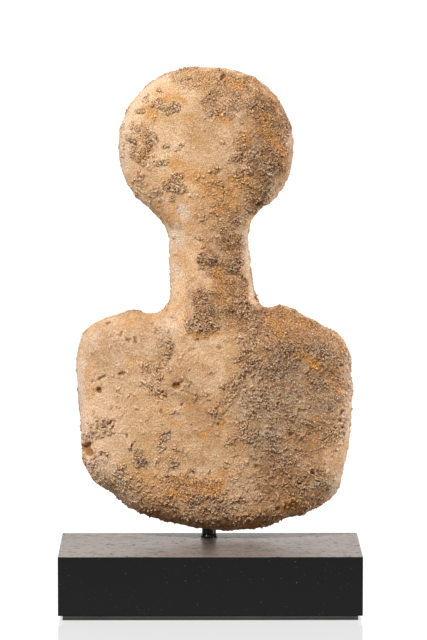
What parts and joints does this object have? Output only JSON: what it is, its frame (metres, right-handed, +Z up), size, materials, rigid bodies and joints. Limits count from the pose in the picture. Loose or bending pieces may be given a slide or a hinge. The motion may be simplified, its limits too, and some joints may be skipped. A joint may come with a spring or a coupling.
{
  "type": "idol figurine",
  "caption": "Flat schematic marble idol with a plain disc head, cylindrical neck and squarish rounded body, on a short rod in a black rectangular block.",
  "frame": {"origin": "centre of the underside, on the surface that the mount stands on", "axes": "+Z up, +X to the right of a viewer who faces the idol, -Y towards that viewer"},
  "size_m": [0.1, 0.05, 0.1797],
  "materials": {
    "marble": "weathered honey-cream marble with crusts, pits and iron stains",
    "black_steel": "glossy black",
    "black_lacquer": "satin black lacquer with fine scuffs",
    "felt": "matte felt"
  },
  "bodies": {
    "root": {"idol": "marble", "mount_rod": "black_steel", "base_block": "black_lacquer", "base_pad": "felt"}
  },
  "joints": []
}
